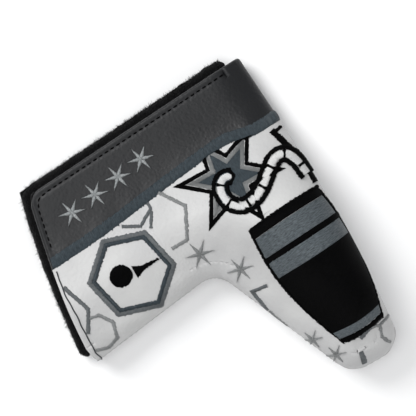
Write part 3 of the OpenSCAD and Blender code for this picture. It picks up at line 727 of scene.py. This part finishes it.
# ==== Satin band that joins the leathers ====
# Cuff and body are joined under a raised column of slate thread, laid side by side across
# the joint; the same machine sews every motif on the front.
def thread(name, colour, other, shine=0.45, gloss=0.3):
    """Rayon embroidery thread: the UV map runs along the column in mm, one thread every
    half millimetre (drawn coarser than the real 0.4 mm to show), each with a slightly
    different tint between the two colours and a soft gloss along it."""
    material, tree, shader = new_material(name, colour, Roughness=shine,
                                          Specular_IOR_Level=gloss, Anisotropic=0.5)
    place = add(tree, "UVMap").outputs["UV"]
    strand = add(tree, "Mapping", [("Vector", place)])
    strand.inputs["Scale"].default_value = (2.4, 0.45, 1.0)
    mottle = add(tree, "TexNoise", [("Vector", strand.outputs["Vector"])], Scale=1.0,
                 Detail=3.0, Roughness=0.7)
    tint = add(tree, "ValToRGB", [("Fac", mottle.outputs["Fac"])])
    tint.color_ramp.elements[0].position, tint.color_ramp.elements[0].color = 0.35, linear(other)
    tint.color_ramp.elements[1].position, tint.color_ramp.elements[1].color = 0.62, linear(colour)
    tree.links.new(tint.outputs["Color"], shader.inputs["Base Color"])
    ribs = add(tree, "TexWave", [("Vector", place)], wave_type="BANDS", Scale=0.63,
               Distortion=0.6, Detail=1.0)
    bump = add(tree, "Bump", [("Height", ribs.outputs["Fac"])], Distance=0.00022)
    tree.links.new(bump.outputs["Normal"], shader.inputs["Normal"])
    return material


def column(left, right, tall, seed, ragged=0.16, low=-0.25, pitch=0.5, broad=7, flat=False):
    """Satin column between two rails with as many points: every stitch is a ridge across,
    crowned like a shallow arch (or flat with rounded sides), and its ends vary a little."""
    left, right = np.asarray(left, float), np.asarray(right, float)
    middle = (left + right) / 2
    way = way_along(middle)
    n = max(3, int(way[-1] / pitch * 2) + 1)
    s = np.linspace(0, way[-1], n)
    a = at_way(s, way, left)
    b = at_way(s, way, right)
    dice = np.random.default_rng(seed)
    end = dice.normal(0, ragged, (n // 2 + 1, 2)).repeat(2, 0)[:n]
    gap = np.maximum(np.linalg.norm(b - a, axis=-1), 0.3)
    v = np.linspace(0, 1, broad)
    spread = 0.5 - 0.5 * np.cos(np.pi * v)
    share = mix(-end[:, :1] / gap[:, None], 1 + end[:, 1:] / gap[:, None], spread[None])
    p = mix(a[:, None], b[:, None], share[..., None])
    arch = 1 - np.abs(2 * spread - 1) ** (6 if flat else 2.4)
    ridge = np.where(np.arange(n) % 2 == 0, 1.0, 0.8)[:, None]
    lift = low + (tall - low) * arch[None] ** 0.6 * ridge
    uv = np.stack([np.broadcast_to(s[:, None], share.shape), share * gap[:, None]], -1)
    out = onto(p, lift)
    side = np.cross(out[1, 1] - out[0, 1], out[0, 2] - out[0, 1])[2]
    return (out, uv) if side < 0 else (out[:, ::-1], uv[:, ::-1])


def sewn(name, columns, material, slot, nodes, body="cover"):
    """One piece of embroidery from its columns; on the corner its placement is baked into its
    mesh, elsewhere it is attached to its body.
    """
    piece = mesh_piece(name, columns, material, merge=False)
    if body == "bends":
        bends(piece)
    else:
        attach(piece, body)
    if nodes:
        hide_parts(*nodes)
    return piece


def mitred(path, offset, closed=False):
    """Path moved sideways by offset, corners kept sharp by their mitre."""
    path = np.asarray(path, float)
    a = unit(path - np.roll(path, 1, 0))
    b = unit(np.roll(path, -1, 0) - path)
    if not closed:
        a[0], b[-1] = b[0], a[-1]
    m = unit(a + b)
    stretch = 1 / np.maximum(0.45, (m * a).sum(-1))
    return path + np.stack([m[:, 1], -m[:, 0]], -1) * (offset * stretch)[:, None]


def ring(loop, inner, outer, tall, seed, **more):
    """Satin column round a closed loop between two offsets from it."""
    loop = np.concatenate([loop, loop[:1]])
    a, b = mitred(loop[:-1], inner, True), mitred(loop[:-1], outer, True)
    return column(np.concatenate([a, a[:1]]), np.concatenate([b, b[:1]]), tall, seed, **more)


def run(path, width, tall, seed, **more):
    """Satin column of one width along an open path."""
    return column(mitred(path, -width / 2), mitred(path, width / 2), tall, seed, **more)


slate_thread = thread("slate_rayon_thread", "#414b51", "#293136")
y = np.linspace(0, 1, 60)[:, None]
low, high = line_ends(np.array([cuff_x + 0.5, body_x - 0.3]))
rails = [mix(low[k] - [0, 11.5], high[k] - [0, 0.9], y) for k in (0, 1)]
for rail, s0 in zip(rails, (cuff_x + 0.5, body_x - 0.3)):
    rail[:, 0] = s0 - hl * rail[:, 1]
sewn("join_band", [column(bowed(rails[0]), bowed(rails[1]), 0.75, 11, ragged=0.2, pitch=0.62)],
     slate_thread, "satin_band", ("join_band", "join_band_corner"), "bends")

# ==== Stars ====
# Six-pointed stars: four of bright silver thread up the cuff, grey ones along the foot top.
# Each arm is a column that narrows to its tip, so the arms catch the light differently.
silver_thread = thread("silver_rayon_thread", "#abafb0", "#868a8b", 0.36, 0.45)
light_grey_thread = thread("light_grey_rayon_thread", "#929494", "#7b7d7d")


def star(centre, radius, turn, seed, tall=0.75, waist=0.27):
    """Six arms, each between its two inner corners and its tip."""
    arms = []
    for k in range(6):
        a = math.radians(turn + 60 * k)
        tip = centre + radius * np.array([math.cos(a), math.sin(a)])
        sides = [centre + radius * waist * np.array([math.cos(a + w), math.sin(a + w)])
                 for w in (-math.pi / 6, math.pi / 6)]
        away = unit(tip - centre)
        back = centre - away * radius * 0.05
        left = [back, sides[0], mix(sides[0], tip, 0.93), tip]
        right = [back, sides[1], mix(sides[1], tip, 0.93), tip + [0.02, 0]]
        arms.append(column(left, right, tall, seed + k, ragged=0.07, broad=7))
    return arms


for k in range(4):
    centre = np.array([-19.8 - 13.8 * 0.152 * k, 64.6 + 13.8 * k])
    sewn(f"cuff_star_{k + 1}", star(centre, 7.0, 16, 20 + 7 * k), silver_thread,
         "silver_thread", (f"cuff_star_{k + 1}",), "bends")
for k, (centre, radius) in enumerate(((np.array([-73.4, 62.3]), 7.3),
                                      (np.array([-89.1, 49.0]), 6.5),
                                      (np.array([-135.5, 35.6]), 5.0))):
    sewn(f"small_star_{k + 1}", star(centre, radius, 16, 60 + 7 * k), light_grey_thread,
         "light_grey_thread", (f"small_star_{k + 1}",))
sewn("toe_star", star(np.array([-147.2, 29.2]), 5.0, 16, 90), light_grey_thread,
     "light_grey_thread", ())

# ==== Hexagons ====
# A large hexagon with a grey and a slate border frames a ball on a tee; hexagons of one
# narrow column run off under the band, round the sewn edge and over the toe.
mid_grey_thread = thread("mid_grey_rayon_thread", "#6c7072", "#55595b")
black_thread = thread("black_rayon_thread", "#070708", "#030303", 0.8, 0.05)
emblem = np.array([-65.6, 95.1])
corners = emblem + 22 * np.stack([np.cos(np.radians(13 + 60 * np.arange(6))),
                                  np.sin(np.radians(13 + 60 * np.arange(6)))], -1)
sewn("emblem_rim", [ring(corners, 0.1, -2.7, 0.6, 101)], mid_grey_thread,
     "mid_grey_thread", ("emblem_rim",))
sewn("emblem_line", [ring(corners, -2.0, -4.2, 0.85, 102)], slate_thread,
     "slate_thread", ("emblem_line",))
a = np.linspace(-np.pi / 2, np.pi / 2, 19)[1:-1]
ball = emblem + [1.5, 5.0]
sewn("emblem_ball", [column(ball + 5.6 * np.stack([-np.cos(a), np.sin(a)], -1),
                            ball + 5.6 * np.stack([np.cos(a), np.sin(a)], -1), 0.7, 103,
                            flat=True, broad=11)], black_thread, "black_thread", ("emblem_ball",))
tee = emblem + [0, -5.5]
sewn("emblem_tee", [column(tee + np.array([[-3.6, 4], [-1.3, -0.4], [-1.0, -4.8], [-0.5, -9.2]]),
                           tee + np.array([[3.6, 4], [1.3, -0.4], [1.0, -4.8], [0.5, -9.2]]),
                           0.7, 104)], black_thread, "black_thread", ("emblem_tee",))
hexes = (
    ("hex_large", light_grey_thread, "light_grey_thread", ("hex_large",), 1.9,
     [[[-37.9, 65.2], [-50, 57], [-64.4, 64.1], [-64.6, 72.6]]]),
    ("hex_small", mid_grey_thread, "mid_grey_thread", ("hex_small",), 1.8,
     [[[-39.6, 72.2], [-42.9, 72.0], [-47.9, 80.4], [-43.6, 88.4]],
      [[-44.0, 72.4], [-51.2, 76.6]]]),
    ("hex_top", mid_grey_thread, "mid_grey_thread", ("hex_top",), 2.2,
     [[[-55.2, 126.6], [-70.1, 121.4], [-80.4, 127.4]]]),
    ("hex_inner", light_grey_thread, "light_grey_thread", ("hex_inner",), 1.9,
     [[[-74.3, 123.2], [-75.0, 118.6], [-81.2, 114.3], [-89, 116.4], [-91.0, 122.5],
       [-89.2, 128.4]]]),
    ("hex_corner", mid_grey_thread, "light_grey_thread", ("hex_corner",), 1.9,
     [[[-102.2, 41.8], [-101.2, 49.4], [-113.0, 47.4]]]),
    ("hex_corner_light", light_grey_thread, "light_grey_thread", (), 1.7,
     [[[-113.8, 47.0], [-124.5, 43.5]]]),
    ("hex_toe", mid_grey_thread, "mid_grey_thread", ("hex_toe",), 2.3,
     [[[-141.8, 2.2], [-142.6, 6.7], [-145.6, 15.6]], [[-151.4, 18.2], [-157.5, 18.6]]]),
    ("hex_toe_light", light_grey_thread, "light_grey_thread", (), 1.8,
     [[[-143.2, -2.0], [-144.8, 4.4], [-149.6, 5.6], [-153.2, 1.8]],
      [[-144.8, 4.4], [-143.2, 9.0]]]))
for k, (name, material, slot, nodes, width, paths) in enumerate(hexes):
    sewn(name, [run(path, width, 0.6, 110 + 5 * k + j) for j, path in enumerate(paths)],
         material, slot, nodes)

# ==== Burst ====
# A six-pointed burst of slate thread inside a silver-grey and a broad black outline; its
# upper tip is cut off by the satin band.
centre = np.array([-48.5, 32.4])


def burst(outer, inner):
    """Star outline with its own tips and inner corners, kept off the satin band."""
    a = np.radians(70 + 30 * np.arange(12))
    r = np.where(np.arange(12) % 2 == 0, outer, inner)
    p = centre + r[:, None] * np.stack([np.cos(a), np.sin(a)], -1)
    p = mix(p[:, None], np.roll(p, -1, 0)[:, None], (np.arange(16) / 16)[None, :, None])
    p = p.reshape(-1, 2)
    edge = bowed(np.stack([body_x + 0.6 - hl * p[:, 1], p[:, 1]], -1))[:, 0]
    p[:, 0] = np.minimum(p[:, 0], edge)
    return p


def between(a, b, tall, seed, **more):
    """Satin column round between two star outlines of the same points."""
    return column(np.concatenate([a, a[:1]]), np.concatenate([b, b[:1]]), tall, seed, **more)


outer, rim_star, inner_star = burst(27.6, 12.1), burst(20.8, 9.4), burst(14.4, 6.5)
outline = np.concatenate([inner_star, inner_star[:1]])
r = np.linspace(0, 1.03, 24)[:, None, None]
p = mix(centre, outline[None], r)
fill = onto(p, 0.42 + 0.04 * np.sin(p[..., 1] * 6))
fill = (fill, np.stack([p[..., 1], p[..., 0]], -1))
sewn("burst_fill", [fill], slate_thread, "slate_thread", ("burst_fill",))
sewn("burst_rim", [between(inner_star, rim_star, 0.62, 141)], light_grey_thread,
     "light_grey_thread", ("burst_rim",))
sewn("burst_line", [between(rim_star, outer, 0.75, 142)], black_thread,
     "black_thread", ("burst_line",))
sewn("sole_motif", [run([[-38.6, 3.4], [-46.5, 1.2], [-55.0, -1.4], [-64.0, -2.6],
                         [-70.4, -2.4]], 3.4, 0.7, 143),
                    run([[-40.2, 4.6], [-39.4, -1.4]], 1.8, 0.7, 144)], black_thread,
     "black_thread", ())

# ==== Rope ====
# A rope curls over the burst and runs down to the barrel: pale segments between two black
# outlines, with a black bar at each turn of the strand.
pale_thread = thread("pale_rayon_thread", "#e4e4e3", "#cfcfce")
route = np.array([[-48.4, 31.0], [-46.4, 34.8], [-50.6, 39.0], [-57.8, 39.4], [-63.8, 34.0],
                  [-63.0, 26.0], [-59.4, 20.0], [-54.2, 14.0], [-50.2, 8.4], [-51.0, 2.8],
                  [-57.0, 0.0], [-65.6, -0.8]])
route_way = way_along(route)
s = np.linspace(0, route_way[-1], 90)
rope = at_way(s, route_way, route)
for _ in range(14):
    rope[1:-1] = (rope[:-2] + 2 * rope[1:-1] + rope[2:]) / 4
half = 1.95 * np.clip(0.45 + s / 3.0, 0, 1)
inner_l = mitred(rope, 0) + (mitred(rope, 1) - rope) * half[:, None]
inner_r = mitred(rope, 0) - (mitred(rope, 1) - rope) * half[:, None]
outer_l, outer_r = mitred(rope, 4.3), mitred(rope, -4.3)
blocks = [column(outer_l, inner_l, 1.1, 150, flat=True),
          column(inner_r, outer_r, 1.1, 151, flat=True)]
cap = rope[0] - unit(rope[1] - rope[0]) * 2.2
blocks.append(column([outer_l[0], mix(outer_l[0], cap, 0.8)], [outer_r[0],
                                                              mix(outer_r[0], cap, 0.8)],
                     1.1, 152))
bars = np.arange(9, 88, 12)
blocks += [column([inner_l[k], inner_r[k]],
                  [mix(inner_l[k + 2], inner_l[k + 3], 0.2),
                   mix(inner_r[k + 2], inner_r[k + 3], 0.2)],
                  1.3, 160 + k, ragged=0.05, broad=5) for k in bars]
sewn("rope_line", blocks, black_thread, "black_thread", ("rope_line",))
sewn("rope_fill", [column(inner_l[:-1], inner_r[:-1], 0.85, 170, low=0.1, ragged=0.08)],
     pale_thread, "pale_thread", ("rope_fill",))

# ==== Barrel ====
# A barrel lies along the foot and wraps over the sole: broad black and mixed grey zones of
# fill stitches with bulging sides, inside a black outline.
heather_thread = thread("mixed_grey_rayon_thread", "#656d71", "#373d42", 0.55)
barrel_a = np.array([-73.5, 17.5])
barrel_b = barrel_a + 70 * unit(np.array([-70.0, -5.0]))
barrel_n = unit(np.array([-5.0, 70.0]))


def barrel(u, v):
    """Point of the barrel: along its axis by u, out by v times a half width that bulges as a
    sine and narrows with the square of u."""
    w = 19.5 * (1 + 0.17 * np.sin(np.pi * u)) * (1 - 0.42 * u * u)
    bow = 2.2 * (1 - np.asarray(v) ** 2) * (0.4 - u)
    return mix(barrel_a, barrel_b, np.asarray(u)[..., None]) \
        + barrel_n * (w * v)[..., None] + unit(barrel_b - barrel_a) * -bow[..., None]


def zone(u0, u1, reach=0.955, tall=0.6):
    """Fill stitches across the barrel from u0 to u1."""
    s = np.linspace(-reach, reach, 45)
    n = max(3, int((u1 - u0) * 70 / 0.25))
    uu = np.linspace(u0, u1, n)
    p = barrel(uu[:, None] * np.ones(45), s[None] * np.ones((n, 1)))
    ridge = np.where(np.arange(n) % 2 == 0, 1, 0.86)[:, None]
    weave = 1 - 0.10 * (np.sin(s[None] * 33 + np.arange(n)[:, None] * 1.1) > 0.8)
    lift = tall * ridge * weave
    lift[0], lift[-1] = -0.2, -0.2
    lift[:, 0], lift[:, -1] = -0.2, -0.2
    uv = np.stack([np.broadcast_to(uu[:, None] * 70, lift.shape),
                   np.broadcast_to(s[None] * 20, lift.shape)], -1)
    return onto(p, lift)[:, ::-1], uv[:, ::-1]


edge_u = np.linspace(0, 1, 60)
one = np.ones(60)
border = [column(barrel(edge_u, k * 1.0 * one), barrel(edge_u, k * 0.93 * one), 0.8, 180 + k)
          for k in (-1, 1)]
cross_v = np.linspace(-1, 1, 40)


def hoop(u0, u1, seed):
    """Black satin hoop right across the barrel."""
    return column(barrel(u0 * np.ones(40), cross_v), barrel(u1 * np.ones(40), cross_v), 0.8, seed)


for name, blocks, material, slot in (
        ("barrel_cap", [zone(0.0, 0.075, 1.0), hoop(-0.005, 0.02, 183)],
         black_thread, "black_thread"),
        ("barrel_band_1", [zone(0.075, 0.225)], heather_thread, "heather_thread"),
        ("barrel_hoop", [hoop(0.218, 0.268, 185)], black_thread, "black_thread"),
        ("barrel_band_2", [zone(0.262, 0.385)], heather_thread, "heather_thread"),
        ("barrel_body", [zone(0.383, 0.9, 0.97)] + border, black_thread, "black_thread"),
        ("barrel_band_3", [zone(0.895, 0.958)], heather_thread, "heather_thread"),
        ("barrel_foot", [hoop(0.955, 1.0, 189)], black_thread, "black_thread")):
    sewn(name, blocks, material, slot, (name,))

# ==== Topstitching and seam ====
# Black topstitch holds the rolled edge of the cuff, a finer dark thread runs along the white
# top edge and ends in a loose tail, and the closed seam shows its stitches at mid height.
def dashes(path, pitch, long, thick_mm, lift):
    """A row of stitches: each a spindle along the path whose ends dive into the leather."""
    path = np.asarray(path, float)
    way = way_along(path)
    starts = np.arange(0.3, way[-1] - long, pitch)
    f = np.linspace(0, 1, 9)
    s = starts[:, None] + f * long
    p = at_way(s, way, path)
    t = unit(np.gradient(p, axis=1))
    side = np.stack([t[..., 1], -t[..., 0]], -1)
    a = np.linspace(0, 2 * np.pi, 9)
    fat = thick_mm / 2 * np.sin(np.pi * np.clip(f, 0.06, 0.94)) ** 0.4
    q = p[:, :, None] + side[:, :, None] * (np.cos(a) * fat[:, None])[None, ..., None]
    h = lift * np.sin(np.pi * f)[None, :, None] ** 0.5 - 0.3 + (np.sin(a) * fat[:, None])[None]
    gap = np.minimum(*to_opening(q))
    points = onto(q, h - roll(np.maximum(gap, 0)))
    return [(row[:, ::-1], None) for row in points]


g = top_dir[1] / top_dir[0]


def under_top(x, d):
    """Point d below the top edge at x."""
    x = np.asarray(x, float)
    return np.stack([x, front_top[1] + g * (x - front_top[0]) - d * math.sqrt(1 + g * g)
                     + top_bow * np.sin(np.pi * np.clip(x / front_inner[0], 0, 1))], -1)


y = np.linspace(10, front_top[1] - 8.5, 30)
heel_run = np.stack([-3.2 / ca - hl * y, y], -1)
top_run = under_top(np.linspace(-17.5, -38.5, 12), 3.2)
bend_run = rounded(heel_run[-1], np.array([-12.4, 117.2]), top_run[0], 4.0, 6)
route = np.concatenate([heel_run, bend_run, top_run])
sewn("cuff_stitch", dashes(route, 3.3, 2.5, 0.75, 0.45), black_thread, "black_thread",
     ("cuff_stitch",), "bends")
dark_thread = thread("dark_polyester_thread", "#2e3438", "#1d2124")
x = np.linspace(-47, -90, 40)


def strand(name, path, lift, fat, nodes):
    """A thin round thread along plan points at its own heights above the face."""
    path, lift = np.asarray(path, float), np.asarray(lift, float)
    t = unit(np.gradient(path, axis=0))
    side = np.stack([t[:, 1], -t[:, 0]], -1)
    a = np.linspace(0, 2 * np.pi, 9)
    q = path[:, None] + side[:, None] * (np.cos(a) * fat)[None, :, None]
    gap = np.minimum(*to_opening(q))
    points = onto(q, lift[:, None] + np.sin(a) * fat - roll(np.maximum(gap, 0)))
    return sewn(name, [(points[:, ::-1], None)], dark_thread, "dark_thread", nodes)


sway = 0.5 * np.sin(x / 2.9) + 0.3 * np.sin(x / 1.3)
line = under_top(x, 1.6 + 1.6 * smooth((-50 - x) / 30) + 0.35 * sway)
tail = np.array([[-91.6, 128.6], [-93.2, 128.1], [-95.0, 128.4], [-96.6, 129.3]])
strand("top_stitch", np.concatenate([line, tail]),
       np.concatenate([0.28 + 0.12 * np.sin(x * 1.9), [0.4, 0.5, 0.6, 0.7]]), 0.3,
       ("top_stitch",))

# closed seam: short stitches over a low ridge, half way down the rounded edge
light_thread = thread("light_polyester_thread", "#c9c9c8", "#b3b3b2")
first, last = n_sole + 2, len(rim) - 3
base, reach = rim[first:last], rim_out[first:last]
way = way_along(base)
s = np.linspace(0, way[-1], int(way[-1] / 0.5))
base = at_way(s, way, base)
reach = at_way(s, way, reach)
a = np.linspace(0, 2 * np.pi, 9)
turn = np.pi / 2 + 0.03 * np.cos(a)[None] * np.ones((len(s), 1))
beat = 0.5 + 0.5 * np.sin(2 * np.pi * s / 3.2)
lift = (np.sin(a)[None] * 0.36) * (0.45 + 0.55 * beat[:, None])
wide = (len(s), 9, 2)
points = bent(np.broadcast_to(base[:, None], wide), np.broadcast_to(reach[:, None], wide),
              turn, lift)
sewn("closed_seam", [(points, None)], light_thread, "light_thread", ("closed_seam",))
